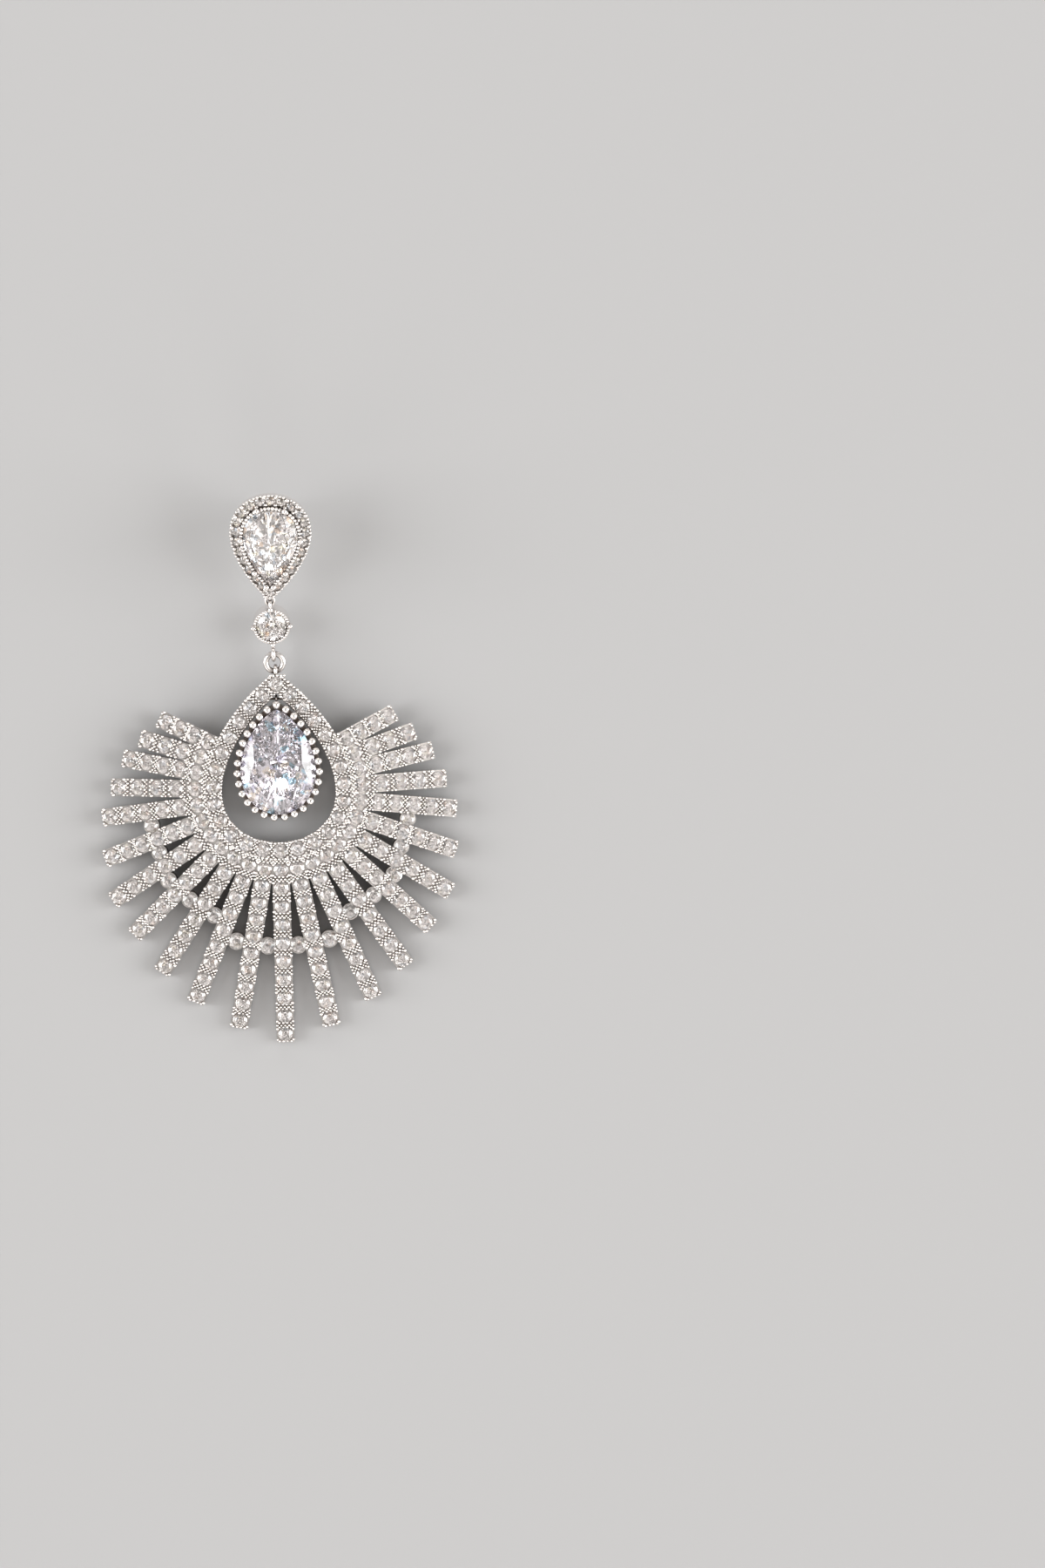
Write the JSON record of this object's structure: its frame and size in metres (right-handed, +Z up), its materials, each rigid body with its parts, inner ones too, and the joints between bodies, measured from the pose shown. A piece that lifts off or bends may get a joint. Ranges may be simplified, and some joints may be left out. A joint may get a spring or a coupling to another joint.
{
  "type": "dangle earring",
  "caption": "Long dangle earring lying face up: pear stud on a straight post, round link, jump ring and an open teardrop fan of stone-set rays with a hanging pear stone.",
  "frame": {"origin": "centre of the footprint on the surface that the earring lies on, at z = 0", "axes": "+Z up from that surface, +Y from the fan's tips to the stud, +X to the right seen from above"},
  "size_m": [0.0432, 0.066, 0.0129],
  "materials": {
    "silver_metal": "polished rhodium plate over cast brass",
    "clear_stone": "cut and polished cubic zirconia, clear",
    "lavender_stone": "cut and polished cubic zirconia, faint lavender"
  },
  "bodies": {
    "root": {"stud_setting": "silver_metal", "ear_post": "silver_metal", "stud_stone": "clear_stone", "halo_stones": "clear_stone", "link_setting": "silver_metal", "link_stone": "clear_stone", "jump_ring": "silver_metal", "fan_frame": "silver_metal", "frame_stones": "clear_stone", "ray_stones": "clear_stone", "bridge_stones": "clear_stone", "drop_setting": "silver_metal", "drop_stone": "lavender_stone"}
  },
  "joints": []
}
